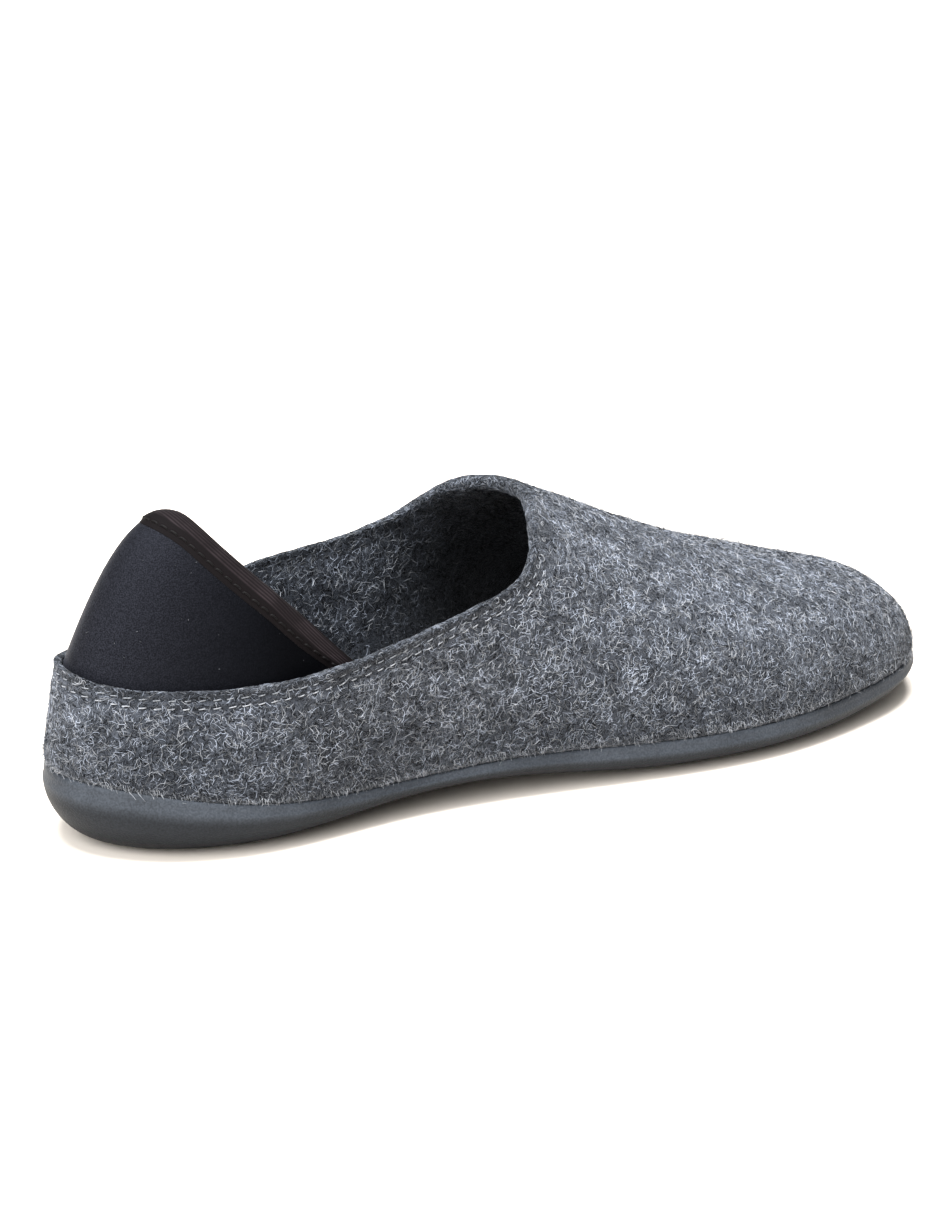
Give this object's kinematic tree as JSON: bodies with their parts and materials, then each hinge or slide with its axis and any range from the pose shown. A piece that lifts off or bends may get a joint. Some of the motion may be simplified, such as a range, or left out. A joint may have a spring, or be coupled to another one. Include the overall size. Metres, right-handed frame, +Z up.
{
  "type": "slip-on shoe",
  "caption": "Low right slip-on shoe: hollow grey felt upper open at the collar, soft dark heel panel edged with folded tape, felt footbed and moulded grey rubber sole.",
  "frame": {"origin": "middle of the footprint's bounding box, on the floor plane that the sole stands on", "axes": "+X towards the toe, +Y towards the big-toe (inner) side, +Z up"},
  "size_m": [0.277, 0.0956, 0.0842],
  "materials": {
    "sole_rubber": "satin moulded rubber, slate grey",
    "footbed_felt": "pressed wool felt, darker grey",
    "upper_felt": "mottled grey wool felt with loose fibres",
    "heel_foam_cloth": "matte stretch cloth bonded to foam, near black",
    "heel_tape_ribbed": "finely ribbed folded tape, brown-black"
  },
  "bodies": {
    "root": {"outsole": "sole_rubber", "insole": "footbed_felt", "upper": "upper_felt", "heel_panel": "heel_foam_cloth", "heel_tape": "heel_tape_ribbed"}
  },
  "joints": []
}
